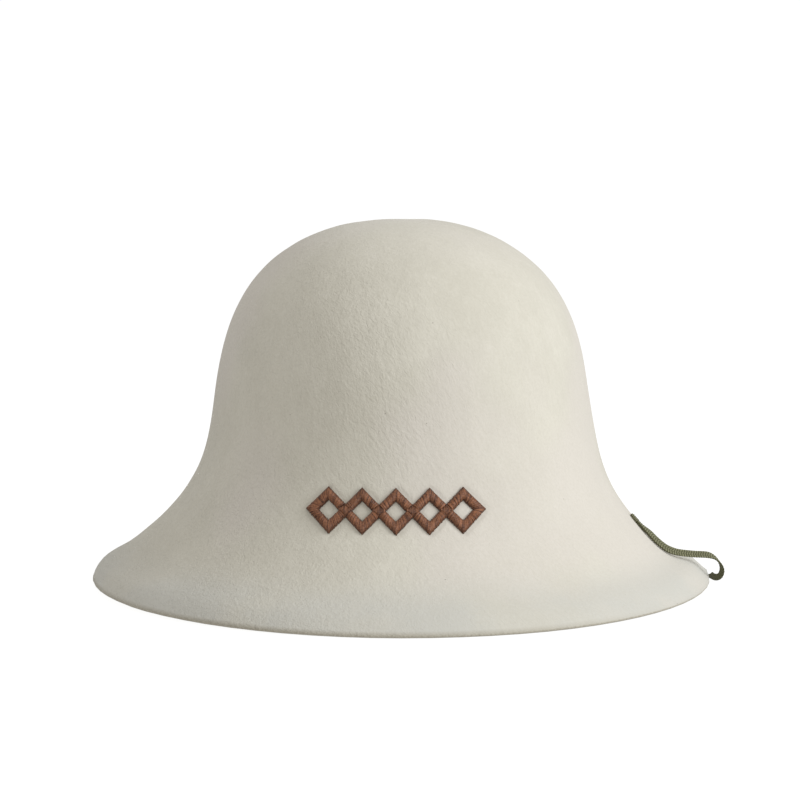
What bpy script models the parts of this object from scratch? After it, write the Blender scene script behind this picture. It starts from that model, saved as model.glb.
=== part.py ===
"""Sauna hat: one piece of blocked wool felt with a bell-shaped brim, a braided hanging loop at the
wearer's left and an embroidered chain of lozenges on the front.

Metres, +Z up. The origin lies under the middle of the brim, on the surface that the hat rests on. The front
is at -Y and the wearer's left at +X. Sizes below are in millimetres and angles in degrees.
"""

import math
from collections import namedtuple

import bmesh
import bpy
import numpy as np

MM = 0.001

# The felt. The head's oval is longer than broad, and past the head the wall flares into the brim.
WALL = 2.0
HEAD_HALF_BREADTH = 90.0
EXTRA_HALF_LENGTH = 12.3
# The brim's edge hangs lower at front and back than at the sides, and lower at the left than at the right.
SIDE_LIFT = 1.3
LEFT_DROOP = 0.2
# How far the felt settles where it rests: what would reach below the surface is pressed flat on it.
SETTLE = 0.8

# Level sections of the outer surface, from the top of the crown down to the brim's edge. The shift moves a
# section towards the wearer's left, because the block of such a hat is never quite even.
Section = namedtuple("Section", "height half_breadth shift")
SECTIONS = (
    Section(165.9, 0.0, 1.0),
    Section(163.0, 29.7, 0.0),
    Section(153.0, 51.8, -0.3),
    Section(137.0, 69.2, 0.1),
    Section(112.0, 81.0, 0.2),
    Section(84.0, 86.3, 0.2),
    Section(63.0, 89.9, 0.3),
    Section(46.0, 96.2, -0.6),
    Section(31.0, 106.9, -1.4),
    Section(20.0, 118.2, -2.2),
    Section(12.0, 128.6, -2.7),
    Section(6.5, 138.1, -1.3),
    Section(1.5, 141.5, 0.0),
)

# The loop's stitches draw the felt in, in a shallow dent. It lies so far down from the top of the crown and
# so far back from the wearer's left, and fades out over its reaches.
Dent = namedtuple("Dent", "depth down down_reach back back_reach")
LOOP_DENT = Dent(2.2, 212.0, 14.0, 26.0, 42.0)

# Where the braid passes under the brim's edge, the edge rides on it. The lift fades out over its reaches, in
# from the edge, and to the front and back of the wearer's left.
EdgeLift = namedtuple("EdgeLift", "height reach_in reach_along")
EDGE_LIFT = EdgeLift(1.25, 18.0, 11.0)

# The cut edge of the brim, from the outer surface through the wall to the inner one: how far each corner lies
# past the last section, along the felt, and how deep below the outer surface
EdgeCorner = namedtuple("EdgeCorner", "past depth")
CUT_EDGE = (
    EdgeCorner(-0.4, 0.0),
    EdgeCorner(0.0, 0.3),
    EdgeCorner(0.1, 0.9),
    EdgeCorner(0.0, 1.5),
    EdgeCorner(-0.3, WALL),
)

# Small steps, for finding the felt's slope and the braid's direction, and how near a height is found
SLOPE_STEP = 0.05
AHEAD_STEP = 0.01
HEIGHT_ERROR = 1e-4
# Edges that turn more than this stay sharp
SHARP_ANGLE = 50

ROUND_FACES = 72
OUTER_RINGS = 25
INNER_RINGS = 20

# The embroidery: a chain of hollow lozenges in satin stitch, on the front of the crown's foot
LOZENGES = 5
LOZENGE_PITCH = 14.0
LOZENGE_HALF_HEIGHT = 7.5
STITCH_WIDTH = 4.0
STITCH_HEIGHT = 0.9
STITCH_EDGE_HEIGHT = 0.4
# A bar of stitches is round on top: between its middle and its edge it still has most of its height.
SHOULDER_SHARE = 0.6
SHOULDER_HEIGHT = 0.77
STITCH_GAP = 0.3
CHAIN_MIDDLE_HEIGHT = 45.0
CHAIN_MIDDLE_SHIFT = -2.3
BAR_STEPS = 3

# The hanging loop: a flat braid sewn to the outside of the flare. It stands out past the brim, passes back
# under the brim's edge, and is sewn to the inside behind its other end. The route gives its middle line and
# the way that its outer face looks.
BRAID_WIDTH = 3.4
BRAID_THICKNESS = 1.1
BRAID_ROUNDING = 0.3
BRAID_STEP = 2.2
RoutePoint = namedtuple("RoutePoint", "x y z out_x out_y out_z")
LOOP_ROUTE = (
    RoutePoint(104.9, -16.0, 31.4, 0.80, -0.10, 0.60),
    RoutePoint(107.0, -17.0, 29.0, 0.80, -0.15, 0.60),
    RoutePoint(109.5, -18.6, 26.4, 0.75, -0.30, 0.60),
    RoutePoint(112.1, -20.2, 24.1, 0.60, -0.60, 0.55),
    RoutePoint(114.9, -21.6, 21.2, 0.50, -0.75, 0.50),
    RoutePoint(118.4, -22.6, 18.1, 0.42, -0.80, 0.48),
    RoutePoint(121.4, -22.6, 16.1, 0.30, -0.85, 0.42),
    RoutePoint(125.2, -22.0, 14.8, 0.20, -0.90, 0.38),
    RoutePoint(130.1, -21.0, 14.0, 0.12, -0.92, 0.36),
    RoutePoint(134.9, -20.0, 13.5, 0.15, -0.90, 0.40),
    RoutePoint(139.1, -19.0, 13.1, 0.28, -0.82, 0.50),
    RoutePoint(142.5, -18.2, 11.8, 0.62, -0.32, 0.65),
    RoutePoint(144.9, -17.6, 9.3, 0.90, 0.10, 0.35),
    RoutePoint(146.1, -17.3, 6.0, 0.85, 0.50, 0.00),
    RoutePoint(145.4, -16.5, 3.2, 0.70, 0.68, -0.22),
    RoutePoint(143.8, -13.8, 2.0, 0.80, 0.58, -0.12),
    RoutePoint(142.8, -9.8, 1.9, 0.95, 0.22, -0.15),
    RoutePoint(142.5, -5.8, 1.7, 0.72, 0.10, -0.68),
    RoutePoint(141.5, -2.4, 1.0, 0.10, 0.00, -1.00),
    RoutePoint(139.3, -0.6, 0.7, 0.00, 0.00, -1.00),
    RoutePoint(136.9, -0.2, 1.5, -0.40, 0.00, -0.90),
    RoutePoint(134.8, -0.5, 3.3, -0.50, 0.00, -0.85),
    RoutePoint(131.8, -0.6, 5.3, -0.50, 0.00, -0.85),
    RoutePoint(128.3, -1.0, 7.4, -0.45, 0.00, -0.90),
    RoutePoint(124.3, -2.0, 9.3, -0.45, 0.00, -0.90),
    RoutePoint(120.4, -4.0, 11.0, -0.50, 0.00, -0.85),
    RoutePoint(117.2, -6.2, 12.9, -0.70, 0.00, -0.70),
    RoutePoint(113.9, -9.1, 16.2, -0.75, 0.00, -0.65),
    RoutePoint(110.5, -11.6, 19.7, -0.75, 0.00, -0.65),
    RoutePoint(107.1, -13.6, 23.1, -0.80, 0.00, -0.60),
    RoutePoint(104.4, -14.9, 26.0, -0.80, 0.00, -0.60),
    RoutePoint(102.4, -15.6, 28.2, -0.80, 0.00, -0.60),
)

Material = namedtuple("Material", "colour roughness")
WOOL_FELT = Material((0.79, 0.75, 0.64), 0.95)
SATIN_THREAD = Material((0.20, 0.09, 0.055), 0.45)
BRAIDED_CORD = Material((0.26, 0.255, 0.15), 0.8)


def natural_spline(knots, rows):
    """A smooth curve through the rows, one at each knot, as a function of the place along the knots."""
    knots = np.asarray(knots, float)
    rows = np.asarray(rows, float)
    steps = np.diff(knots)
    slopes = np.diff(rows, axis=0) / steps[:, None]
    system = np.eye(len(knots))
    wanted = np.zeros_like(rows)
    for i in range(1, len(steps)):
        system[i, i - 1 : i + 2] = steps[i - 1], 2 * (steps[i - 1] + steps[i]), steps[i]
        wanted[i] = 6 * (slopes[i] - slopes[i - 1])
    bends = np.linalg.solve(system, wanted)

    def at(place):
        i = min(max(int(np.searchsorted(knots, place)) - 1, 0), len(steps) - 1)
        before = place - knots[i]
        after = knots[i + 1] - place
        curved = (bends[i] * after**3 + bends[i + 1] * before**3) / (6 * steps[i])
        straight = (rows[i] * after + rows[i + 1] * before) / steps[i]
        return curved + straight - steps[i] / 6 * (bends[i] * after + bends[i + 1] * before)

    return at


def section_line():
    """The line through the sections, as a function of the distance from the top, and its whole length."""
    below = SECTIONS[1]
    # The same section beyond the top, mirrored, makes the crown level at its top
    beyond = Section(below.height, -below.half_breadth, below.shift)
    rows = np.array((beyond, *SECTIONS))
    distances = np.concatenate(([0.0], np.cumsum(np.hypot(*np.diff(rows[:, :2], axis=0).T))))
    distances -= distances[1]
    return natural_spline(distances, rows), distances[-1]


SECTION_AT, DOWN_TO_EDGE = section_line()


def half_length(half_breadth):
    return half_breadth + EXTRA_HALF_LENGTH * min(half_breadth / HEAD_HALF_BREADTH, 1.0)


def outer_point(down, turn):
    """The point of the outer surface so far down from the top, and so far round from the wearer's left."""
    height, half_breadth, shift = SECTION_AT(down)
    flare = (half_breadth - HEAD_HALF_BREADTH) / (SECTIONS[-1].half_breadth - HEAD_HALF_BREADTH)
    across = math.cos(turn)
    hang = SIDE_LIFT * across**2 - LEFT_DROOP * across
    back = half_length(half_breadth) * math.sin(turn)
    dent = lift = 0.0
    if across > 0:
        far = ((down - LOOP_DENT.down) / LOOP_DENT.down_reach, (back - LOOP_DENT.back) / LOOP_DENT.back_reach)
        dent = LOOP_DENT.depth * math.exp(-(far[0] ** 2) - far[1] ** 2) / math.sqrt(2)
        far = ((DOWN_TO_EDGE - down) / EDGE_LIFT.reach_in, back / EDGE_LIFT.reach_along)
        lift = EDGE_LIFT.height * math.exp(-(far[0] ** 2) - far[1] ** 2)
    return np.array(
        (
            shift + half_breadth * across - dent,
            back,
            height + min(max(flare, 0.0), 1.0) * hang - SETTLE - dent + lift,
        )
    )


def outward(down, turn):
    """The direction square to the outer surface, and the one that runs down along it."""
    if down < SLOPE_STEP:
        return np.array((0.0, 0.0, 1.0)), np.array((math.cos(turn), math.sin(turn), 0.0))
    along = outer_point(down + SLOPE_STEP, turn) - outer_point(down - SLOPE_STEP, turn)
    angle = SLOPE_STEP / SECTION_AT(down)[1]
    around = outer_point(down, turn + angle) - outer_point(down, turn - angle)
    square = np.cross(along, around)
    return square / np.linalg.norm(square), along / np.linalg.norm(along)


def felt_point(down, turn, depth, past=0.0):
    """A point of the felt below the outer surface, or above it where the depth is negative."""
    square, along = outward(down, turn)
    point = outer_point(down, turn) - depth * square + past * along
    point[2] = max(point[2], 0.0)
    return point


def material(name, look):
    made = bpy.data.materials.new(name)
    made.use_nodes = True
    shader = made.node_tree.nodes["Principled BSDF"]
    shader.inputs["Base Color"].default_value = (*look.colour, 1.0)
    shader.inputs["Roughness"].default_value = look.roughness
    shader.inputs["Metallic"].default_value = 0.0
    made.diffuse_color = (*look.colour, 1.0)
    return made


def add_object(name, look, bm):
    """Closes the piece's mesh and adds it to the scene. Its points are in millimetres until here."""
    bmesh.ops.scale(bm, vec=(MM, MM, MM), verts=bm.verts)
    bmesh.ops.recalc_face_normals(bm, faces=bm.faces)
    mesh = bpy.data.meshes.new(name)
    bm.to_mesh(mesh)
    bm.free()
    mesh.shade_smooth()
    mesh.set_sharp_from_angle(angle=math.radians(SHARP_ANGLE))
    mesh.materials.append(material(name, look))
    made = bpy.data.objects.new(name, mesh)
    bpy.context.collection.objects.link(made)
    return made


def join_rings(bm, rings):
    """Faces between each ring of points and the next one."""
    for ring, following in zip(rings, rings[1:]):
        for i, corner in enumerate(ring):
            bm.faces.new((corner, ring[i - 1], following[i - 1], following[i]))


def close_with_fan(bm, ring, middle):
    for i, corner in enumerate(ring):
        bm.faces.new((corner, ring[i - 1], middle))


def felt_body():
    """Crown and brim: the outer surface, the rounded cut edge and the inner surface, closed at the top."""
    bm = bmesh.new()
    turns = [2 * math.pi * i / ROUND_FACES for i in range(ROUND_FACES)]
    last_outer = DOWN_TO_EDGE + CUT_EDGE[0].past
    last_inner = DOWN_TO_EDGE + CUT_EDGE[-1].past
    places = [(last_outer * i / OUTER_RINGS, 0.0, 0.0) for i in range(1, OUTER_RINGS)]
    places += [(DOWN_TO_EDGE, corner.depth, corner.past) for corner in CUT_EDGE]
    places += [(last_inner * i / INNER_RINGS, WALL, 0.0) for i in range(INNER_RINGS - 1, 0, -1)]
    rings = []
    for down, depth, past in places:
        rings.append([bm.verts.new(felt_point(down, turn, depth, past)) for turn in turns])
    join_rings(bm, rings)
    close_with_fan(bm, rings[0], bm.verts.new(felt_point(0.0, 0.0, 0.0)))
    close_with_fan(bm, rings[-1], bm.verts.new(felt_point(0.0, 0.0, WALL)))
    return add_object("felt_body", WOOL_FELT, bm)


def down_to_height(height):
    """How far down from the top the outer surface reaches this height."""
    low, high = 0.0, DOWN_TO_EDGE
    while high - low > HEIGHT_ERROR:
        middle = (low + high) / 2
        if SECTION_AT(middle)[0] - SETTLE > height:
            low = middle
        else:
            high = middle
    return low


def chart_point(across, up, lift):
    """A point over the front: across and up from the chain's middle, and lifted off the felt."""
    down = down_to_height(CHAIN_MIDDLE_HEIGHT) - up
    _, half_breadth, shift = SECTION_AT(down)
    turn = -math.acos((CHAIN_MIDDLE_SHIFT + across - shift) / half_breadth)
    return felt_point(down, turn, -lift)


def front_embroidery():
    """Bars of satin stitch from the points where two lozenges meet to their peaks, as one closed ridge."""
    bm = bmesh.new()
    bar_angle = math.atan2(LOZENGE_HALF_HEIGHT, LOZENGE_PITCH / 2)
    side_reach = STITCH_WIDTH / 2 / math.sin(bar_angle)
    peak_reach = STITCH_WIDTH / 2 / math.cos(bar_angle)
    # Across a half bar, from its middle line to its edge: share of the half width, and height
    half_section = (
        (0.0, STITCH_HEIGHT),
        (SHOULDER_SHARE, SHOULDER_HEIGHT),
        (1.0, STITCH_EDGE_HEIGHT),
        (1.0, 0.0),
    )

    def corner_points(across, up, reach_across, reach_up):
        for share, height in half_section:
            yield across + share * reach_across, up + share * reach_up, height
        yield across, up, 0.0

    corners = {}

    def vertex(across, up, height):
        key = round(across, 4), round(up, 4), round(height, 4)
        if key not in corners:
            corners[key] = bm.verts.new(chart_point(across, up, STITCH_GAP + height))
        return corners[key]

    def half_bar(low_across, high_across, flip, meet_reach, top_reach):
        """The faces of one side of a bar between its meeting point, on the middle line, and its peak."""
        start = list(corner_points(low_across, 0.0, *meet_reach))
        end = list(corner_points(high_across, flip * LOZENGE_HALF_HEIGHT, *top_reach))
        rows = []
        for step in range(BAR_STEPS + 1):
            t = step / BAR_STEPS
            rows.append([vertex(*(a + (b - a) * t for a, b in zip(p, q))) for p, q in zip(start, end)])
        for row, following in zip(rows, rows[1:]):
            for i in range(len(row) - 1):
                bm.faces.new((row[i], row[i + 1], following[i + 1], following[i]))

    for i in range(LOZENGES):
        peak = (i - (LOZENGES - 1) / 2) * LOZENGE_PITCH
        for side in (-1, 1):
            meet = peak + side * LOZENGE_PITCH / 2
            at_end = (side < 0 and i == 0) or (side > 0 and i == LOZENGES - 1)
            for flip in (-1, 1):
                outer = (side * side_reach, 0.0) if at_end else (0.0, flip * peak_reach)
                half_bar(meet, peak, flip, outer, (0.0, flip * peak_reach))
                half_bar(meet, peak, flip, (-side * side_reach, 0.0), (0.0, -flip * peak_reach))
    return add_object("front_embroidery", SATIN_THREAD, bm)


def braid_frames():
    """Places along the loop's middle line, each with the directions across the braid and out of its face."""
    route = np.array(LOOP_ROUTE)
    knots = np.concatenate(([0.0], np.cumsum(np.linalg.norm(np.diff(route[:, :3], axis=0), axis=1))))
    at = natural_spline(knots, route)
    steps = round(knots[-1] / BRAID_STEP)
    for i in range(steps + 1):
        place = knots[-1] * i / steps
        ahead = at(min(place + AHEAD_STEP, knots[-1])) - at(max(place - AHEAD_STEP, 0.0))
        ahead = ahead[:3] / np.linalg.norm(ahead[:3])
        out = at(place)[3:]
        out -= ahead * (out @ ahead)
        out /= np.linalg.norm(out)
        yield at(place)[:3], np.cross(out, ahead), out


def hanging_loop():
    """The braid as a flat band with rounded edges, swept along its route and closed at both sewn ends."""
    bm = bmesh.new()
    wide, thick = BRAID_WIDTH / 2, BRAID_THICKNESS / 2
    quarter = ((wide, thick - BRAID_ROUNDING), (wide - BRAID_ROUNDING, thick))
    outline = [*quarter, *((-x, y) for x, y in reversed(quarter))]
    outline += [(-x, -y) for x, y in outline]
    rings = []
    for middle, across, out in braid_frames():
        rings.append([bm.verts.new(middle + x * across + y * out) for x, y in outline])
    join_rings(bm, rings)
    bm.faces.new(rings[0])
    bm.faces.new(rings[-1])
    return add_object("hanging_loop", BRAIDED_CORD, bm)


def main():
    for old in list(bpy.data.objects):
        bpy.data.objects.remove(old)
    felt_body()
    hanging_loop()
    front_embroidery()


main()
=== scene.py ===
# %% [markdown]
# # A felt sauna hat
# The real hat is one piece of blocked wool felt with a bell-shaped brim. A narrow braid is sewn to the brim
# as a hanging loop, and the front carries a band of satin stitch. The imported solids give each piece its
# place and size, so every cell below only dresses them.

import math

import bmesh
import bpy
import numpy as np
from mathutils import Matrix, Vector, noise
from mathutils.bvhtree import BVHTree


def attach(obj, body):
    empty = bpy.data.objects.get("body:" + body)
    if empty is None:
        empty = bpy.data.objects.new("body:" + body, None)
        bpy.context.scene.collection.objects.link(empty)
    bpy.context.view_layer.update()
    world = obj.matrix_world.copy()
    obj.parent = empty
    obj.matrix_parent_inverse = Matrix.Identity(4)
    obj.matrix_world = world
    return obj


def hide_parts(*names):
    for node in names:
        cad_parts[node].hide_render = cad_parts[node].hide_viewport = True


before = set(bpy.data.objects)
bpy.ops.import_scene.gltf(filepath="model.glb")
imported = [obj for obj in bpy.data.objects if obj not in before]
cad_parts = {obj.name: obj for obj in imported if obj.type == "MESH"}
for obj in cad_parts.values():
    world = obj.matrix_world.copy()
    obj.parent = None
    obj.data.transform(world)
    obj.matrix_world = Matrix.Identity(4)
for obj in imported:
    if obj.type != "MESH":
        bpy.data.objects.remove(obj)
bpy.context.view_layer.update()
MM = 0.001


# %% [markdown]
# ## The camera
# The photograph looks at the front from just above the brim, from about a metre away. The camera is placed
# by that distance and angle, aimed at the middle of the hat's height. A lens is chosen that shows 0.46 mm
# in each of the 800 picture points at the hat's middle.

# %% Place the camera
PICTURE_POINTS = 800
POINT_SIZE = 0.46 * MM
CAMERA_DISTANCE = 1.1
CAMERA_ELEVATION = math.radians(5.08)
SENSOR_WIDTH_MM = 36.0
AIM = Vector((-0.59 * MM, 0.0, 82.06 * MM))


def placed(name, data):
    """A new object in the scene that carries this data."""
    made = bpy.data.objects.new(name, data)
    bpy.context.scene.collection.objects.link(made)
    return made


camera_data = bpy.data.cameras.new("front_camera")
camera_data.sensor_width = SENSOR_WIDTH_MM
camera_data.lens = SENSOR_WIDTH_MM * CAMERA_DISTANCE / (POINT_SIZE * PICTURE_POINTS)
camera = placed("front_camera", camera_data)
back_and_up = Vector((0.0, -math.cos(CAMERA_ELEVATION), math.sin(CAMERA_ELEVATION)))
camera.location = AIM + CAMERA_DISTANCE * back_and_up
camera.rotation_euler = (math.pi / 2 - CAMERA_ELEVATION, 0.0, 0.0)
bpy.context.scene.camera = camera
print("lens, mm:", round(camera_data.lens, 1))


# %% [markdown]
# ## Small helpers
# Operators work on what is selected, so each step starts from a clean selection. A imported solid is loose
# triangles, so a copy of it has its doubled points merged before it is shaped. A finished mesh object sits
# at the origin, and rides on the hat's only body.

# %% Select, copy, join, finish and measure
MERGE_DISTANCE = 0.01 * MM


def only(piece):
    bpy.ops.object.select_all(action="DESELECT")
    piece.select_set(True)
    bpy.context.view_layer.objects.active = piece


def copy_of(node, name):
    """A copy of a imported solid, merged, and left in edit mode with all of its mesh selected."""
    only(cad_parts[node])
    bpy.ops.object.duplicate()
    piece = bpy.context.view_layer.objects.active
    piece.name = name
    piece.parent = None
    for key in [k for k in piece.keys() if k.startswith("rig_")]:
        del piece[key]
    bpy.ops.object.mode_set(mode="EDIT")
    bpy.ops.mesh.select_all(action="SELECT")
    bpy.ops.mesh.remove_doubles(threshold=MERGE_DISTANCE)
    bpy.ops.mesh.customdata_custom_splitnormals_clear()
    return piece


def joined(pieces, name):
    """The pieces as one, which keeps the first one's place."""
    only(pieces[0])
    for piece in pieces:
        piece.select_set(True)
    bpy.ops.object.join()
    made = bpy.context.view_layer.objects.active
    made.name = name
    bpy.ops.object.shade_smooth()
    print(name, "faces:", len(made.data.polygons))
    return made


def points_of(piece):
    points = np.empty(len(piece.data.vertices) * 3)
    piece.data.vertices.foreach_get("co", points)
    return points.reshape(-1, 3)


def move_points(piece, points):
    piece.data.vertices.foreach_set("co", np.asarray(points, float).ravel())
    piece.data.update()


def store(piece, name, values):
    """Keeps one number for each point of the mesh, for its material to read."""
    layer = piece.data.attributes.new(name, "FLOAT", "POINT")
    layer.data.foreach_set("value", np.asarray(values, np.float32))


def dress(piece, node, look):
    """Gives the piece its material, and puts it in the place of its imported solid."""
    piece.data.materials.clear()
    piece.data.materials.append(look)
    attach(piece, "root")
    if node:
        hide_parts(node)
    print(piece.name, "points:", len(piece.data.vertices), "faces:", len(piece.data.polygons))


def unit_rows(rows):
    return rows / np.linalg.norm(rows, axis=1)[:, None]


def smooth_step(low, high, x):
    t = np.clip((x - low) / (high - low), 0.0, 1.0)
    return t * t * (3 - 2 * t)


print("helpers ready")

# %% [markdown]
# ## The hanging loop's route
# The braid is a flat cord, 3.4 mm wide and 124 mm long. It is sewn to the outside of the flare, stands out
# past the brim in a small bight, passes back under the brim's edge and is sewn to the inside behind its
# other end. The route is a short list of points in metres with the way that the braid's outer face looks at
# each, and one smooth curve joins them.

# %% Lay out the route
BRAID_WIDTH = 3.4 * MM
BRAID_THICKNESS = 1.1 * MM
BRAID_RINGS = 900
# x, y, z, and the direction of the outer face
ROUTE = (
    (0.1049, -0.0160, 0.0314, 0.80, -0.10, 0.60),
    (0.1070, -0.0170, 0.0290, 0.80, -0.15, 0.60),
    (0.1095, -0.0186, 0.0264, 0.75, -0.30, 0.60),
    (0.1121, -0.0202, 0.0241, 0.60, -0.60, 0.55),
    (0.1149, -0.0216, 0.0212, 0.50, -0.75, 0.50),
    (0.1184, -0.0226, 0.0181, 0.42, -0.80, 0.48),
    (0.1214, -0.0226, 0.0161, 0.30, -0.85, 0.42),
    (0.1252, -0.0220, 0.0148, 0.20, -0.90, 0.38),
    (0.1301, -0.0210, 0.0140, 0.12, -0.92, 0.36),
    (0.1349, -0.0200, 0.0135, 0.15, -0.90, 0.40),
    (0.1391, -0.0190, 0.0131, 0.28, -0.82, 0.50),
    (0.1425, -0.0182, 0.0118, 0.62, -0.32, 0.65),
    (0.1449, -0.0176, 0.0093, 0.90, 0.10, 0.35),
    (0.1461, -0.0173, 0.0060, 0.85, 0.50, 0.00),
    (0.1454, -0.0165, 0.0032, 0.70, 0.68, -0.22),
    (0.1438, -0.0138, 0.0020, 0.80, 0.58, -0.12),
    (0.1428, -0.0098, 0.0019, 0.95, 0.22, -0.15),
    (0.1425, -0.0058, 0.0017, 0.72, 0.10, -0.68),
    (0.1415, -0.0024, 0.0010, 0.10, 0.00, -1.00),
    (0.1393, -0.0006, 0.0007, 0.00, 0.00, -1.00),
    (0.1369, -0.0002, 0.0015, -0.40, 0.00, -0.90),
    (0.1348, -0.0005, 0.0033, -0.50, 0.00, -0.85),
    (0.1318, -0.0006, 0.0053, -0.50, 0.00, -0.85),
    (0.1283, -0.0010, 0.0074, -0.45, 0.00, -0.90),
    (0.1243, -0.0020, 0.0093, -0.45, 0.00, -0.90),
    (0.1204, -0.0040, 0.0110, -0.50, 0.00, -0.85),
    (0.1172, -0.0062, 0.0129, -0.70, 0.00, -0.70),
    (0.1139, -0.0091, 0.0162, -0.75, 0.00, -0.65),
    (0.1105, -0.0116, 0.0197, -0.75, 0.00, -0.65),
    (0.1071, -0.0136, 0.0231, -0.80, 0.00, -0.60),
    (0.1044, -0.0149, 0.0260, -0.80, 0.00, -0.60),
    (0.1024, -0.0156, 0.0282, -0.80, 0.00, -0.60),
)


def run_along(points):
    """How far along the line each of its points lies."""
    return np.concatenate(([0.0], np.cumsum(np.linalg.norm(np.diff(points, axis=0), axis=1))))


def smooth_curve(knots, rows, places):
    """Points of the smooth curve through the rows: its bends are solved for, and its ends are straight."""
    steps = np.diff(knots)
    slopes = np.diff(rows, axis=0) / steps[:, None]
    system = np.eye(len(knots))
    wanted = np.zeros_like(rows)
    for i in range(1, len(steps)):
        system[i, i - 1 : i + 2] = steps[i - 1], 2 * (steps[i - 1] + steps[i]), steps[i]
        wanted[i] = 6 * (slopes[i] - slopes[i - 1])
    bends = np.linalg.solve(system, wanted)
    i = np.clip(np.searchsorted(knots, places) - 1, 0, len(steps) - 1)
    step = steps[i][:, None]
    before = (places - knots[i])[:, None]
    after = (knots[i + 1] - places)[:, None]
    curved = (bends[i] * after**3 + bends[i + 1] * before**3) / (6 * step)
    straight = (rows[i] * after + rows[i + 1] * before) / step
    return curved + straight - step / 6 * (bends[i] * after + bends[i + 1] * before)


route_rows = np.array(ROUTE, float)
route_knots = run_along(route_rows[:, :3])
route_line = smooth_curve(route_knots, route_rows, np.linspace(0.0, route_knots[-1], BRAID_RINGS))
braid_middle = route_line[:, :3]
braid_run = run_along(braid_middle)
print("braid length, mm:", round(braid_run[-1] / MM, 1))

# %% [markdown]
# ## The braid
# A flat braid is made of strands that cross over and under one another on their way along it. Seen from
# outside that gives three columns of short slanted beads, leaning left and right in turn. One closed band
# with those beads in its surface looks the same as crossing strands, and stays clean where it bends. Where
# it is sewn on, its inner side is thicker, so that it lies on the felt.

# %% Shape the beads round the route
AROUND = 40
BEAD_COLUMNS = 3
BEAD_PITCH = 1.15 * MM
BEAD_SLANT = 0.3
COLUMN_OFFSET = 0.25
SEWN_DOWN = 0.8 * MM
SEWN_FULLY = 24 * MM
SEWN_UP_TO = 31 * MM

ahead = unit_rows(np.gradient(braid_middle, axis=0))
outer_face = route_line[:, 3:]
out = unit_rows(outer_face - ahead * np.sum(outer_face * ahead, axis=1)[:, None])
across = np.cross(out, ahead)

# The band's cut is a rounded box, and each of its points belongs to one column of beads
angle = np.linspace(0.0, 2 * math.pi, AROUND, endpoint=False)
flat_across = np.sign(np.cos(angle)) * np.abs(np.cos(angle)) ** 0.75
flat_out = np.sign(np.sin(angle)) * np.abs(np.sin(angle)) ** 0.6
column_place = (flat_across + 1) / 2 * BEAD_COLUMNS
column = np.clip(np.floor(column_place), 0, BEAD_COLUMNS - 1)
in_column = (column_place - column) * 2 - 1

lean = np.where(column % 2 == 0, 1.0, -1.0) * np.sign(flat_out + 1e-6)
phase = braid_run[:, None] / BEAD_PITCH + lean * in_column * BEAD_SLANT / 2 + (column % 2) * COLUMN_OFFSET
bead = np.abs(np.sin(math.pi * phase)) ** 1.1 * (1 - 0.75 * np.abs(in_column) ** 3)
wide = BRAID_WIDTH / 2 * flat_across * (0.90 + 0.10 * bead)
thick = BRAID_THICKNESS / 2 * flat_out * (0.60 + 0.40 * bead)
thick += SEWN_DOWN * smooth_step(SEWN_UP_TO, SEWN_FULLY, braid_run)[:, None] * np.minimum(flat_out, 0.0)
skin = braid_middle[:, None] + across[:, None] * wide[..., None] + out[:, None] * thick[..., None]
print("points round and along the braid:", AROUND, BRAID_RINGS)

# %% [markdown]
# The rings of points are joined into one closed skin. Each point keeps how high it stands on its bead, and
# whether it is on the inner side, for the material.

shape = bmesh.new()
rings = [[shape.verts.new(point) for point in ring] for ring in skin]
for ring, following in zip(rings, rings[1:]):
    for i in range(AROUND):
        shape.faces.new((ring[i - 1], ring[i], following[i], following[i - 1]))
shape.faces.new(rings[0])
shape.faces.new(rings[-1])
bmesh.ops.recalc_face_normals(shape, faces=shape.faces)
braid_mesh = bpy.data.meshes.new("loop_braid")
shape.to_mesh(braid_mesh)
shape.free()
braid_mesh.shade_smooth()
loop_braid = placed("loop_braid", braid_mesh)
store(loop_braid, "bead", bead.ravel())
store(loop_braid, "inner_side", np.tile(smooth_step(0.2, -0.3, flat_out), BRAID_RINGS))
braid_middle[::6].tolist() + [braid_middle[-1].tolist()]
print("loop_braid faces:", len(braid_mesh.polygons))


# %% [markdown]
# ## The felt
# Blocked felt is pulled over a wooden block while wet. It keeps the block's even shape, but its surface is
# never perfectly smooth: it swells and sinks by parts of a millimetre, and it draws in where thread pulls
# on it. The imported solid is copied, its triangles become quads, and it is subdivided, so that there are
# points enough to move by such small amounts. The rings of the cut edge are creased first, so that
# smoothing doesn't draw them in.

# %% Copy and subdivide the felt
BRIM_HALF_BREADTH = 141.5 * MM
BRIM_HALF_LENGTH = 153.4 * MM
QUAD_ANGLE = math.radians(50)
CREASED_FROM = 0.975
RING_EDGE_LENGTH = 5 * MM

felt = copy_of("felt_body", "blocked_felt")
bpy.ops.mesh.tris_convert_to_quads(face_threshold=QUAD_ANGLE, shape_threshold=QUAD_ANGLE)
bpy.ops.mesh.select_all(action="DESELECT")
bpy.ops.object.mode_set(mode="OBJECT")


def share_of_brim(points):
    """How far out a point lies: 1 at the brim's edge and 0 at the middle."""
    return np.hypot(points[:, 0] / BRIM_HALF_BREADTH, points[:, 1] / BRIM_HALF_LENGTH)


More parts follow.
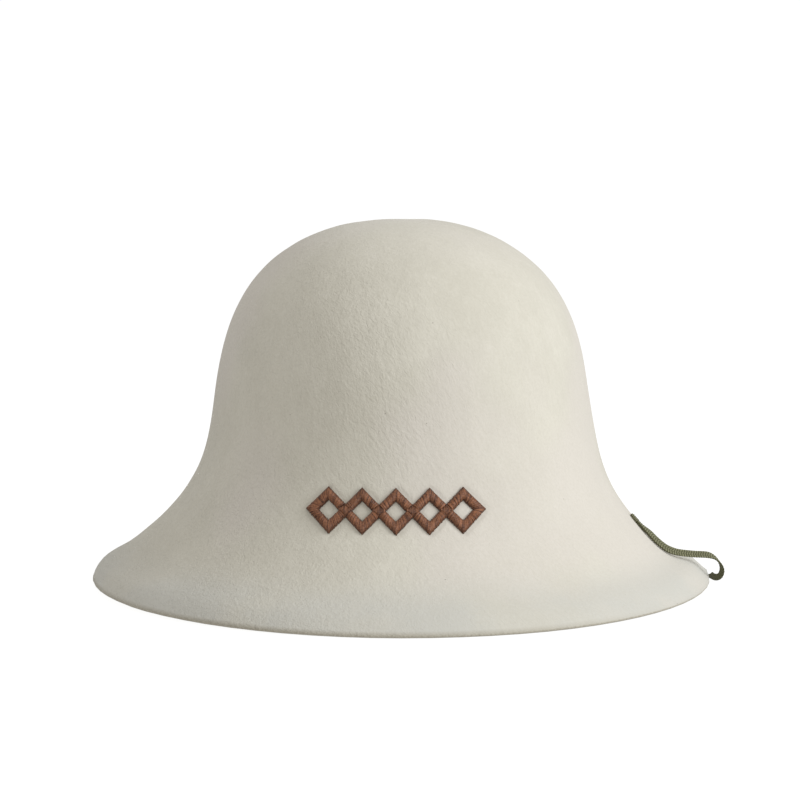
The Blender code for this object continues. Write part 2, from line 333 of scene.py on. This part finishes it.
ends = np.empty(len(felt.data.edges) * 2, int)
felt.data.edges.foreach_get("vertices", ends)
ends = points_of(felt)[ends].reshape(-1, 2, 3)
at_edge = np.minimum(share_of_brim(ends[:, 0]), share_of_brim(ends[:, 1])) > CREASED_FROM
creased = at_edge & (np.linalg.norm(ends[:, 1] - ends[:, 0], axis=1) > RING_EDGE_LENGTH)
felt.data.edges.foreach_set("select", creased)
bpy.ops.object.mode_set(mode="EDIT")
bpy.ops.transform.edge_crease(value=1.0)
bpy.ops.object.mode_set(mode="OBJECT")
finer = felt.modifiers.new("finer", "SUBSURF")
finer.levels = finer.render_levels = 2
bpy.ops.object.modifier_apply(modifier="finer")
bpy.ops.object.shade_smooth()
print("creased edges:", int(creased.sum()), "felt faces:", len(felt.data.polygons))

# %% [markdown]
# The swells are a slow three-dimensional noise, stretched down the crown as the pull over the block
# stretches the fibres. They fade out at the floor, and almost wholly by the loop, because other things lie
# against the felt there. Round the embroidery the thread has drawn the felt in, with a soft roll of felt
# below it. The brim is a little fuller near its left and right tips, on the outside.

# %% Let the felt swell and sink
CHAIN_MIDDLE = Vector((-2.3 * MM, 0.0, 45.0 * MM))
CHAIN_HALF = Vector((38.0 * MM, 0.0, 9.2 * MM))
CHAIN_MARGIN = 9 * MM
THREAD_PULL = 0.25 * MM
ROLL_FULLNESS = 0.5 * MM
ROLL_PLACE_UP = 31.5 * MM
ROLL_REACH = 3.2 * MM
FLOOR_MARGIN = 4 * MM
LOOP_PLACE = (124 * MM, -12 * MM)
LOOP_NEAR = 22 * MM
LOOP_FAR = 40 * MM
# Each swell's height, its size across and up, and the place in the noise that it starts from
SWELLS = ((0.45 * MM, 34 * MM, 60 * MM, 3.7), (0.16 * MM, 9 * MM, 22 * MM, 11.2))
# Which side, how high, how far up and down, and how full: the wearer's left tip, then the right one
TIPS = ((1.0, 8.5 * MM, 3.5 * MM, 1.3 * MM), (-1.0, 7.0 * MM, 4.0 * MM, 0.95 * MM))

felt_points = points_of(felt)
x_place, y_place, z_place = felt_points.T.copy()
felt_normals = np.empty(len(felt.data.vertices) * 3)
felt.data.vertices.foreach_get("normal", felt_normals)
felt_normals = felt_normals.reshape(-1, 3)

lift = np.zeros(len(felt_points))
for height, across_size, up_size, start in SWELLS:
    stretched = felt_points / np.array((across_size, across_size, up_size)) + start
    lift += height * np.array([noise.noise(Vector(p)) for p in stretched])

beside_chain = np.maximum(np.abs(x_place - CHAIN_MIDDLE.x) - CHAIN_HALF.x, 0.0)
above_chain = np.maximum(np.abs(z_place - CHAIN_MIDDLE.z) - CHAIN_HALF.z, 0.0)
front = smooth_step(-20 * MM, -60 * MM, y_place)
near_chain = front * (1 - smooth_step(0.0, CHAIN_MARGIN, np.hypot(beside_chain, above_chain)))
below_chain = front * np.exp(-(((z_place - ROLL_PLACE_UP) / ROLL_REACH) ** 2))
below_chain *= 1 - smooth_step(30 * MM, 46 * MM, np.abs(x_place - CHAIN_MIDDLE.x))
lift = lift * (1 - near_chain) - THREAD_PULL * near_chain + ROLL_FULLNESS * below_chain

on_floor = 1 - smooth_step(0.0, FLOOR_MARGIN, z_place)
from_loop = np.hypot(x_place - LOOP_PLACE[0], y_place - LOOP_PLACE[1])
near_loop = 1 - smooth_step(LOOP_NEAR, LOOP_FAR, from_loop)
lift = lift * (1 - on_floor) * (1 - 0.9 * near_loop)
for side, height, reach, fullness in TIPS:
    at_tip = smooth_step(0.75, 0.95, side * x_place / BRIM_HALF_BREADTH)
    at_tip *= np.exp(-(((z_place - height) / reach) ** 2))
    lift += fullness * at_tip * smooth_step(0.1, 0.4, felt_normals[:, 2])
felt_points += felt_normals * lift[:, None]
felt_points[:, 2] = np.maximum(felt_points[:, 2], 0.0)
move_points(felt, felt_points)
print("felt moved by up to, mm:", round(float(np.abs(lift).max()) / MM, 2))

# %% [markdown]
# Each point keeps whether it is on the cut edge, which is the part of the brim that faces outwards and not
# up, and how near it is to the brim's edge, for the material. The moved surface is also kept as a tree,
# which later answers where the felt lies under each thread.

# %% Mark the cut edge and the brim
away = felt_points[:, :2] / np.array((BRIM_HALF_BREADTH, BRIM_HALF_LENGTH)) ** 2
away /= np.maximum(np.linalg.norm(away, axis=1), 1e-6)[:, None]
faces_out = np.sum(felt_normals[:, :2] * away, axis=1)
out_on_brim = share_of_brim(felt_points)
sideways_on = smooth_step(0.72, 0.86, faces_out - 0.35 * felt_normals[:, 2])
cut_edge = smooth_step(0.982, 0.990, out_on_brim) * sideways_on
store(felt, "cut_edge", cut_edge)
store(felt, "by_brim", smooth_step(0.80, 0.96, out_on_brim))
felt_tree = BVHTree.FromObject(felt, bpy.context.evaluated_depsgraph_get())
print("points on the cut edge:", int((cut_edge > 0.5).sum()))


# %% [markdown]
# ## Writing materials
# A material is a sum over noises and masks, so it reads best as one. The class below wraps a socket, and
# plain Python signs add the Math nodes.

# %% A socket that can be added and multiplied
class Value:
    def __init__(self, tree, socket):
        self.tree = tree
        self.socket = socket

    def math(self, operation, *others):
        node = self.tree.nodes.new("ShaderNodeMath")
        node.operation = operation
        for place, other in zip(node.inputs, (self, *others)):
            plug(self.tree, place, other)
        return Value(self.tree, node.outputs[0])

    def __add__(self, other):
        return self.math("ADD", other)

    def __mul__(self, other):
        return self.math("MULTIPLY", other)

    def __sub__(self, other):
        return self.math("SUBTRACT", other)

    def __rsub__(self, other):
        return self.math("MULTIPLY", -1.0).math("ADD", other)

    def __truediv__(self, other):
        return self.math("DIVIDE", other)

    def __abs__(self):
        return self.math("ABSOLUTE")

    __radd__ = __add__
    __rmul__ = __mul__


def plug(tree, place, value):
    """Links a value to a node's input, or sets it there."""
    if isinstance(value, Value):
        tree.links.new(value.socket, place)
    else:
        place.default_value = value


print("values can be summed")


# %% [markdown]
# Every other node comes from one method, which takes the node's type, its settings and its inputs. The
# methods after it are the few nodes that this hat's materials keep asking for. A Mix node has inputs for
# each kind of value, and the colours are two of them.

# %% One material and its nodes
MIX_SHARE = 0
MIX_FIRST_COLOUR = 6
MIX_SECOND_COLOUR = 7
MIX_COLOUR_OUT = 2


class Finish:
    def __init__(self, name):
        self.look = bpy.data.materials.new(name)
        self.look.use_nodes = True
        self.tree = self.look.node_tree
        self.shader = self.tree.nodes["Principled BSDF"]

    def node(self, kind, settings=None, inputs=None, output=0):
        made = self.tree.nodes.new("ShaderNode" + kind)
        for name, value in (settings or {}).items():
            setattr(made, name, value)
        for name, value in (inputs or {}).items():
            plug(self.tree, made.inputs[name], value)
        return Value(self.tree, made.outputs[output])

    def object_place(self):
        return self.node("TexCoord", output="Object")

    def grain(self, place, scale, detail=2.0, roughness=0.5, distortion=0.0):
        inputs = {"Vector": place, "Scale": scale, "Detail": detail}
        inputs.update({"Roughness": roughness, "Distortion": distortion})
        return self.node("TexNoise", inputs=inputs)

    def kept(self, name):
        """The number that the mesh keeps under this name."""
        return self.node("Attribute", {"attribute_name": name}, output="Fac")

    def between(self, share, first, second):
        """A colour between two colours."""
        colours = [colour if isinstance(colour, Value) else (*colour, 1.0) for colour in (first, second)]
        inputs = {MIX_SHARE: share, MIX_FIRST_COLOUR: colours[0], MIX_SECOND_COLOUR: colours[1]}
        return self.node("Mix", {"data_type": "RGBA"}, inputs, MIX_COLOUR_OUT)

    def band(self, value, low, high):
        """0 below low, 1 above high, and smooth between them."""
        inputs = {"Value": value, "From Min": low, "From Max": high}
        return self.node("MapRange", {"interpolation_type": "SMOOTHSTEP"}, inputs)

    def bump(self, height, distance, strength=1.0):
        made = self.node("Bump", inputs={"Height": height, "Distance": distance, "Strength": strength})
        plug(self.tree, self.shader.inputs["Normal"], made)

    def set(self, **inputs):
        for name, value in inputs.items():
            plug(self.tree, self.shader.inputs[name.replace("_", " ")], value)


print("material tools ready")

# %% [markdown]
# ## The felt's finish
# Wool felt is a mat of fine fibres: dull, a little cloudy in colour, with faint streaks where the block
# pulled it and a few darker fibres. Its grain is fibre-sized noise. The wrinkles and creases are the same
# noise stretched at a slant, and the streaks are stretched nearly upright.

# %% Mix the wool's noises
wool = Finish("wool_felt")
plain = wool.object_place()
fine = wool.grain(plain, 900.0, 3.0, 0.6, 0.4)
mottle = wool.grain(plain, 170.0, 4.0, 0.6, 0.5)
clouds = wool.grain(plain, 26.0, 3.0)
blush = wool.grain(plain, 11.0, 2.0)
specks = wool.band(wool.grain(plain, 520.0, 1.0), 0.825, 0.845)
wrinkled = wool.band(wool.grain(plain, 17.0, 2.0), 0.38, 0.62)


def slanted_place(turn, stretch):
    """Object coordinates that are stretched along an axis turned about Y, away from upright."""
    turned = {"Vector": plain, "Rotation": (0.0, turn, 0.0), "Scale": (1.0, 1.0, stretch)}
    return wool.node("Mapping", {"vector_type": "TEXTURE"}, turned)


wrinkles = wool.grain(slanted_place(-0.5, 2.4), 600.0, 4.0, 0.55, 1.0)
creases = wool.grain(slanted_place(-0.65, 3.3), 360.0, 3.0, 0.5, 0.8)
streaks = wool.grain(slanted_place(-0.12, 4.5), 520.0, 3.0, 0.55, 0.5)
print("wool nodes so far:", len(wool.tree.nodes))

# %% [markdown]
# Where thread goes through felt it draws the felt in, and a soft roll stands up a little further out. Both
# follow the lozenges, whose outline is a folded straight line, so their distance is a short sum on Object
# coordinates. The folds are rounded off, because felt doesn't fold sharply.

# %% Draw the felt in round the stitches
LOZENGES = 5
LOZENGE_PITCH = 14.0 * MM
LOZENGE_HALF_HEIGHT = 7.5 * MM
STITCH_WIDTH = 4.0 * MM
FELT_SLOPE = math.cos(math.radians(28.5))
SOFT_CORNER = 1.4 * MM


def smooth_abs(value):
    """The size of a value without its sign, and rounded off at nought."""
    return (value * value + SOFT_CORNER**2).math("SQRT") - SOFT_CORNER / 2


x, y, z = (wool.node("SeparateXYZ", inputs={"Vector": plain}, output=axis) for axis in "XYZ")
sideways = abs(x - CHAIN_MIDDLE.x)
past_last_peak = sideways - (LOZENGES - 1) / 2 * LOZENGE_PITCH
from_peak = sideways.math("PINGPONG", LOZENGE_PITCH / 2).math("MAXIMUM", past_last_peak)
steepness = math.hypot(1 / LOZENGE_HALF_HEIGHT, 2 / LOZENGE_PITCH)
across_share = smooth_abs(from_peak) / (LOZENGE_PITCH / 2)
up_share = smooth_abs(z - CHAIN_MIDDLE.z) / (FELT_SLOPE * LOZENGE_HALF_HEIGHT)
from_bar = abs(across_share + up_share - 1.0) / steepness
from_stitches = from_bar - STITCH_WIDTH / 2
on_the_front = wool.band(y * -1.0, 20 * MM, 60 * MM)
drawn_in = on_the_front * wool.band(from_stitches, 1.6 * MM, -0.2 * MM)
rising = wool.band(from_stitches, 0.8 * MM, 2.4 * MM)
falling = wool.band(from_stitches, 5.0 * MM, 2.6 * MM)
roll = on_the_front * rising * falling
print("wool nodes so far:", len(wool.tree.nodes))

# %% [markdown]
# The colour goes from a deeper to a paler cream with the clouds, and is rosier in wide patches. Towards the
# brim's edge the felt is greyer in patches. Its cut edge is slightly darker felt, painted darker still as
# painted shade along the edge. Light grazes the fibre ends, which a small sheen gives. The surface is
# coarser on the wearer's right, where the felt is more wrinkled.

# %% Make the wool felt
DEEPER_CREAM = (0.755, 0.718, 0.605)
PALER_CREAM = (0.835, 0.797, 0.68)
ROSY_CREAM = (0.825, 0.768, 0.685)
BRIM_GREY = (0.725, 0.71, 0.635)
HOLLOW_TAN = (0.63, 0.59, 0.48)
DARK_FIBRE = (0.16, 0.13, 0.09)
CUT_EDGE_SHADE_DEEPER = (0.50, 0.46, 0.365)
CUT_EDGE_SHADE_PALER = (0.62, 0.58, 0.475)

tone = 0.55 * clouds + 0.2 * mottle + 0.25 * streaks
face_colour = wool.between(wool.band(tone, 0.34, 0.66), DEEPER_CREAM, PALER_CREAM)
face_colour = wool.between(0.65 * wool.band(blush, 0.45, 0.62), face_colour, ROSY_CREAM)
# The felt turns greyer towards the brim's edge, in cloud-shaped patches.
greyer_by_brim = wool.kept("by_brim") * (0.45 + 0.55 * wool.band(clouds, 0.35, 0.6))
face_colour = wool.between(greyer_by_brim, face_colour, BRIM_GREY)
face_colour = wool.between(0.2 * wool.band(fine, 0.35, 0.72), face_colour, HOLLOW_TAN)
face_colour = wool.between(0.5 * specks, face_colour, DARK_FIBRE)
# Painted shade: the cut edge is coloured far darker than the face, for the shade along the edge as well as
# its own slightly darker tone.
shaded_edge_colour = wool.between(wool.band(fine, 0.3, 0.7), CUT_EDGE_SHADE_DEEPER, CUT_EDGE_SHADE_PALER)
wool.set(Base_Color=wool.between(wool.kept("cut_edge"), face_colour, shaded_edge_colour))
wool.set(Roughness=0.95, Sheen_Weight=0.25, Sheen_Roughness=0.5, Specular_IOR_Level=0.2)
slanted = (0.5 + 0.5 * wrinkled) * (0.8 * wrinkles + 0.6 * creases)
surface = 0.4 * fine + slanted + 0.4 * streaks + 0.25 * mottle
coarseness = 2.0 - 1.6 * wool.band(x, -90 * MM, 50 * MM)
wool.bump(coarseness * surface + 0.12 * roll - 0.6 * drawn_in, 0.5 * MM, 0.8)
dress(felt, "felt_body", wool.look)

# %% [markdown]
# ## The braid's finish
# The braid is olive cotton with a dry surface. The hollows between its strands and its inner side are
# painted darker, as painted shade, and each strand is flecked along its fibres.

# %% Make the braided cord
DEEPER_OLIVE = (0.20, 0.20, 0.11)
PALER_OLIVE = (0.38, 0.38, 0.235)
SHADED_INNER_OLIVE = (0.14, 0.14, 0.075)
SHADED_HOLLOW_OLIVE = (0.095, 0.093, 0.048)

cotton = Finish("braided_cord")
fleck = cotton.grain(cotton.object_place(), 1900.0, 3.0, 0.6)
raised = cotton.band(cotton.kept("bead"), 0.2, 0.85)
strand_colour = cotton.between(cotton.band(fleck, 0.32, 0.68), DEEPER_OLIVE, PALER_OLIVE)
# Painted shade: the braid's inner side is coloured darker.
strand_colour = cotton.between(cotton.kept("inner_side"), strand_colour, SHADED_INNER_OLIVE)
# Painted shade: the hollows between the beads are coloured darker.
cotton.set(Base_Color=cotton.between(raised, SHADED_HOLLOW_OLIVE, strand_colour))
cotton.set(Roughness=0.85, Sheen_Weight=0.15, Specular_IOR_Level=0.25)
cotton.bump(fleck, 0.12 * MM, 0.8)
dress(loop_braid, "hanging_loop", cotton.look)


# %% [markdown]
# ## The embroidery
# Satin stitch lays threads side by side across a padded bar, from one edge to the other. Each bar of a
# lozenge is a column with two edges, and a thread runs between them every 0.43 mm. The padding is a copy of
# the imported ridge, drawn in a little, and each thread is a thin tube of few faces that arches over it.

# %% Lay the padding
PADDING_DRAWN_IN = 0.18 * MM
padding = copy_of("front_embroidery", "stitch_padding")
bpy.ops.transform.shrink_fatten(value=-PADDING_DRAWN_IN)
bpy.ops.object.mode_set(mode="OBJECT")

# %% [markdown]
# One thread is modelled lying along X, as a five-sided tube of unit length and radius, cut across into
# parts. Its copies are then bent along a row of points, one for each ring of the tube.

# %% Model one thread
THREAD_SIDES = 5
THREAD_PARTS = 8
STATIONS = np.linspace(0.0, 1.0, THREAD_PARTS + 1)
bpy.ops.object.select_all(action="DESELECT")
bpy.ops.mesh.primitive_cylinder_add(
    vertices=THREAD_SIDES, radius=1.0, depth=1.0, rotation=(0.0, math.pi / 2, 0.0), end_fill_type="TRIFAN"
)
thread = bpy.context.active_object
thread.name = "one_thread"
bpy.ops.object.transform_apply(location=True, rotation=True, scale=True)
bpy.ops.object.mode_set(mode="EDIT")
for part in range(1, THREAD_PARTS):
    bpy.ops.mesh.select_all(action="SELECT")
    bpy.ops.mesh.bisect(plane_co=(part / THREAD_PARTS - 0.5, 0.0, 0.0), plane_no=(1.0, 0.0, 0.0))
bpy.ops.mesh.select_all(action="SELECT")
bpy.ops.mesh.normals_make_consistent(inside=False)
bpy.ops.object.mode_set(mode="OBJECT")
bpy.ops.object.shade_smooth()
thread_points = points_of(thread)
station_of = np.rint((thread_points[:, 0] + 0.5) * THREAD_PARTS).astype(int)


def bent_thread(name, middle, sideways, upwards, radius):
    """A copy of the thread, bent along a row of points."""
    spread = thread_points[:, 1:2] * sideways[station_of] + thread_points[:, 2:3] * upwards[station_of]
    copy = placed(name, thread.data.copy())
    move_points(copy, middle[station_of] + radius * spread)
    return copy


print("one thread, faces:", len(thread.data.polygons))

# %% [markdown]
# A stitch goes down into the felt at both ends and arches over the padding between them, so each of its
# points stands off the felt along the felt's own slope. It is finer at its ends. Each thread keeps its own
# tone, and how near each of its points is to an end.

# %% Arch a thread over the padding
THREAD_RADIUS = 0.23 * MM
END_FINENESS = 0.7
STITCH_HEIGHT = 1.65 * MM
STITCH_FOOT = 0.05 * MM
IN_FRONT = -0.2


def on_front(across_chain, up_chain):
    """The felt's point and slope so far across and up from the middle of the chain."""
    start = Vector((CHAIN_MIDDLE.x + across_chain, IN_FRONT, CHAIN_MIDDLE.z + up_chain * FELT_SLOPE))
    point, slope, _, _ = felt_tree.ray_cast(start, Vector((0.0, 1.0, 0.0)))
    return np.array(point), np.array(slope)


def lay_thread(start, end, tone):
    """A thread, arched from one edge of a column to the other."""
    middle, lifts = [], []
    for share in STATIONS:
        point, slope = on_front(*(start + (end - start) * share))
        arch = (1 - abs(2 * share - 1) ** 2.0) ** 0.5
        middle.append(point + slope * (STITCH_FOOT + (STITCH_HEIGHT - STITCH_FOOT) * arch))
        lifts.append(slope)
    middle, lifts = np.array(middle), np.array(lifts)
    along = unit_rows(np.gradient(middle, axis=0))
    beside = unit_rows(np.cross(along, lifts))
    at_end = (station_of == 0) | (station_of == THREAD_PARTS)
    radius = THREAD_RADIUS * np.where(at_end, END_FINENESS, 1.0)[:, None]
    copy = bent_thread("thread", middle, beside, np.cross(beside, along), radius)
    store(copy, "tone", np.full(len(station_of), tone))
    store(copy, "thread_end", abs(2 * STATIONS[station_of] - 1) ** 3)
    return copy


print("a thread's height over the felt, mm:", round(STITCH_HEIGHT / MM, 2))

# %% [markdown]
# The lozenges stand in a row, and their bars meet in points. A thread at a peak stands upright, and one at
# a meeting point lies along the row, as an embroidery machine turns its stitches round a corner. That
# leaves a small square where two lozenges meet, and upright threads fill it.

# %% Lay the threads
STITCH_SPACING = 0.43 * MM
CROSSING_STITCHES = 12
CROSSING_SHARE = 0.85
CROSSING_OVERHANG = 0.3 * MM
BAR_WANDER = 0.07 * MM
CROSSING_WANDER = 0.09 * MM
bar_angle = math.atan2(LOZENGE_HALF_HEIGHT, LOZENGE_PITCH / 2)
side_reach = STITCH_WIDTH / 2 / math.sin(bar_angle)
peak_reach = STITCH_WIDTH / 2 / math.cos(bar_angle)
bar_stitches = round(math.hypot(LOZENGE_PITCH / 2, LOZENGE_HALF_HEIGHT) / STITCH_SPACING)
chance = np.random.default_rng(7)
threads = []


def sew_bar(outer, inner):
    """Threads side by side from a bar's outer edge to its inner one, each edge given by its two ends."""
    for stitch in range(bar_stitches):
        share = (stitch + 0.5) / bar_stitches
        wander = chance.normal(0.0, BAR_WANDER, 4).reshape(2, 2)
        first = outer[0] + (outer[1] - outer[0]) * share + wander[0]
        last = inner[0] + (inner[1] - inner[0]) * share + wander[1]
        threads.append(lay_thread(first, last, chance.uniform(0.0, 1.0)))


def sew_crossing(meet):
    """Upright threads over the small square where two lozenges meet."""
    for share in np.linspace(-CROSSING_SHARE, CROSSING_SHARE, CROSSING_STITCHES):
        half = peak_reach * (1 - abs(share)) + CROSSING_OVERHANG
        wander = chance.normal(0.0, CROSSING_WANDER, 2)
        first = np.array((meet + side_reach * share, half + wander[0]))
        last = np.array((meet + side_reach * share, wander[1] - half))
        threads.append(lay_thread(first, last, chance.uniform(0.0, 1.0)))


for lozenge in range(LOZENGES):
    peak = (lozenge - (LOZENGES - 1) / 2) * LOZENGE_PITCH
    for leaning in (-1, 1):
        meet = peak + leaning * LOZENGE_PITCH / 2
        inner_meet = (meet - leaning * side_reach, 0.0)
        at_end = lozenge == (0 if leaning < 0 else LOZENGES - 1)
        for flip in (-1, 1):
            outer_meet = (meet + leaning * side_reach, 0.0) if at_end else (meet, flip * peak_reach)
            outer_peak = (peak, flip * (LOZENGE_HALF_HEIGHT + peak_reach))
            inner_peak = (peak, flip * (LOZENGE_HALF_HEIGHT - peak_reach))
            sew_bar(np.array((outer_meet, outer_peak)), np.array((inner_meet, inner_peak)))
        if leaning > 0 and not at_end:
            sew_crossing(meet)
print("threads:", len(threads))

# %% [markdown]
# The threads and the padding become one piece. The padding is as dark as a thread's end, so that it looks
# like the shade between threads where it shows.

# %% Join threads and padding
store(padding, "tone", np.zeros(len(padding.data.vertices)))
store(padding, "thread_end", np.ones(len(padding.data.vertices)))
embroidery = joined([padding] + threads, "satin_stitching")

# %% [markdown]
# ## The thread's finish
# Embroidery thread is smooth and shines along its length. Each thread takes the dye a little differently,
# which the tone kept on its points gives, and flecks break it up further. Where its ends go down into the
# felt they are painted darker, as painted shade, and the bump roughens it as fibres do.

# %% Make the satin thread
DEEPER_DYE = (0.06, 0.019, 0.007)
PALER_DYE = (0.47, 0.20, 0.097)
SHADED_END = (0.03, 0.009, 0.004)
DEEPER_FLECK = (0.08, 0.026, 0.011)
PALER_FLECK = (0.56, 0.25, 0.13)

satin = Finish("satin_thread")
satin_place = satin.object_place()
fibre = satin.grain(satin_place, 2600.0, 2.0, 0.6)
dyed = satin.between(satin.kept("tone"), DEEPER_DYE, PALER_DYE)
# Painted shade: each thread is coloured darker towards its ends, where it goes into the felt.
shaded = satin.between(0.9 * satin.kept("thread_end"), dyed, SHADED_END)
fleck = satin.band(satin.grain(satin_place, 1500.0, 2.0, 0.6), 0.36, 0.64)
flecked = satin.between(fleck, DEEPER_FLECK, PALER_FLECK)
satin.set(Base_Color=satin.between(0.3, shaded, flecked))
satin.set(Roughness=0.36, Sheen_Weight=0.05, Specular_IOR_Level=0.42)
satin.bump(fibre, 0.05 * MM, 0.5)
dress(embroidery, "front_embroidery", satin.look)

# %% [markdown]
# ## The loop's root stitches
# A loop like this is held by a few close stitches of strong thread across each of its ends. The same thread
# shape serves, bent over the braid and down into the felt on both sides.

# %% Sew on both ends of the braid
ROOT_STITCHES = 5
ROOT_INSET = 1.0 * MM
ROOT_SPACING = 0.75 * MM
ROOT_THREAD = 0.24 * MM
ROOT_REACH = BRAID_WIDTH / 2 + 0.15 * MM
ROOT_SINK = 0.35 * MM
from_middle = 2 * STATIONS - 1
rise = BRAID_THICKNESS * (1 - from_middle**4) - BRAID_THICKNESS / 2 - ROOT_SINK * from_middle**8
root_threads = []
for first, step in ((ROOT_INSET, ROOT_SPACING), (braid_run[-1] - ROOT_INSET, -ROOT_SPACING)):
    for stitch in range(ROOT_STITCHES):
        ring = int(np.argmin(np.abs(braid_run - first - step * stitch)))
        to_the_side = ROOT_REACH * from_middle[:, None] * across[ring]
        bent = braid_middle[ring] + to_the_side + rise[:, None] * out[ring]
        along = unit_rows(np.gradient(bent, axis=0))
        beside = np.tile(ahead[ring], (len(bent), 1))
        root_threads.append(bent_thread("root_thread", bent, beside, np.cross(beside, along), ROOT_THREAD))
bpy.data.objects.remove(thread)
root_stitches = joined(root_threads, "root_stitches")
bpy.ops.object.mode_set(mode="EDIT")
bpy.ops.mesh.select_all(action="SELECT")
bpy.ops.mesh.normals_make_consistent(inside=False)
bpy.ops.object.mode_set(mode="OBJECT")

# %% [markdown]
# The strong thread is olive like the braid, with fine light and dark from its twist. One noise gives both
# its colour and its bump, because a stitch this small shows no more than that.

# %% Make the strong thread
DEEPER_STRONG = (0.15, 0.145, 0.085)
PALER_STRONG = (0.30, 0.29, 0.18)
strong = Finish("strong_thread")
twist = strong.grain(strong.object_place(), 2400.0, 2.0, 0.6)
strong.set(Base_Color=strong.between(twist, DEEPER_STRONG, PALER_STRONG))
strong.set(Roughness=0.7, Sheen_Weight=0.1, Specular_IOR_Level=0.3)
strong.bump(twist, 0.05 * MM, 0.6)
dress(root_stitches, None, strong.look)

# %% [markdown]
# ## Floor and light
# The photograph shows the hat on plain white, and a white surround would light it as brightly from the left
# as from the right. So the floor, which rises round the hat like a studio's curved wall, is kept out of the
# light that bounces.

# %% Build the white surround
FLOOR_SIDES = 96
FLOOR_RADIUS = 4.0
FLOOR_DROP = 0.2 * MM
RISE_STEPS = 6
RISE_STEP = 0.8
bpy.ops.object.select_all(action="DESELECT")
bpy.ops.mesh.primitive_circle_add(
    vertices=FLOOR_SIDES, radius=FLOOR_RADIUS, fill_type="NGON", location=(0.0, 0.0, -FLOOR_DROP)
)
surround = bpy.context.active_object
surround.name = "pale_floor"
bpy.ops.object.mode_set(mode="EDIT")
bpy.ops.mesh.select_all(action="SELECT")
bpy.ops.mesh.region_to_loop()
radius = FLOOR_RADIUS
for turn in range(1, RISE_STEPS + 1):
    slope = math.pi / 2 * turn / RISE_STEPS
    wider = 1 + RISE_STEP * math.cos(slope) / radius
    upwards = (0.0, 0.0, RISE_STEP * math.sin(slope))
    bpy.ops.mesh.extrude_region_move(TRANSFORM_OT_translate={"value": upwards})
    bpy.ops.transform.resize(value=(wider, wider, 1.0))
    radius *= wider
bpy.ops.object.mode_set(mode="OBJECT")
bpy.ops.object.transform_apply(location=True, rotation=True, scale=True)
bpy.ops.object.shade_smooth()
white = Finish("pale_floor")
white.set(Base_Color=(0.25, 0.25, 0.25, 1.0), Roughness=1.0, Specular_IOR_Level=0.0)
white.set(Emission_Color=(1.0, 1.0, 1.0, 1.0), Emission_Strength=0.9)
surround.data.materials.append(white.look)
surround.visible_diffuse = False
surround.visible_glossy = False
print("surround faces:", len(surround.data.polygons))

# %% [markdown]
# A wide lamp lights the hat softly from the right and a little from above, a weak one hangs overhead, and a
# dim even sky lights the side that turns away. The colours leave the renderer as they are, without a film
# look.

# %% Light the hat
SKY_COLOUR = (1.0, 0.988, 0.977, 1.0)
SKY_STRENGTH = 0.50
LAMP_DISTANCE = 2.2
LAMP_AZIMUTH = math.radians(65.0)
LAMP_ELEVATION = math.radians(20.0)
LAMP_COLOUR = (0.92, 0.95, 1.0)

sky = bpy.data.worlds.new("dim_sky")
sky.use_nodes = True
sky.node_tree.nodes["Background"].inputs["Color"].default_value = SKY_COLOUR
sky.node_tree.nodes["Background"].inputs["Strength"].default_value = SKY_STRENGTH
bpy.context.scene.world = sky
bpy.context.scene.view_settings.view_transform = "Standard"


def disk_lamp(name, size, watts, place):
    data = bpy.data.lights.new(name, "AREA")
    data.shape = "DISK"
    data.size = size
    data.energy = watts
    lamp = placed(name, data)
    lamp.location = place
    return lamp


towards_lamp = Vector((math.sin(LAMP_AZIMUTH), -math.cos(LAMP_AZIMUTH), math.tan(LAMP_ELEVATION)))
towards_lamp.normalize()
upper_right = disk_lamp("upper_right", size=1.4, watts=26.0, place=AIM + LAMP_DISTANCE * towards_lamp)
upper_right.rotation_euler = towards_lamp.to_track_quat("Z", "Y").to_euler()
upper_right.data.color = LAMP_COLOUR
overhead = disk_lamp("overhead", size=0.9, watts=3.2, place=(0.1, -0.1, 2.2))
print("lamps at, m:", [[round(c, 2) for c in lamp.location] for lamp in (upper_right, overhead)])
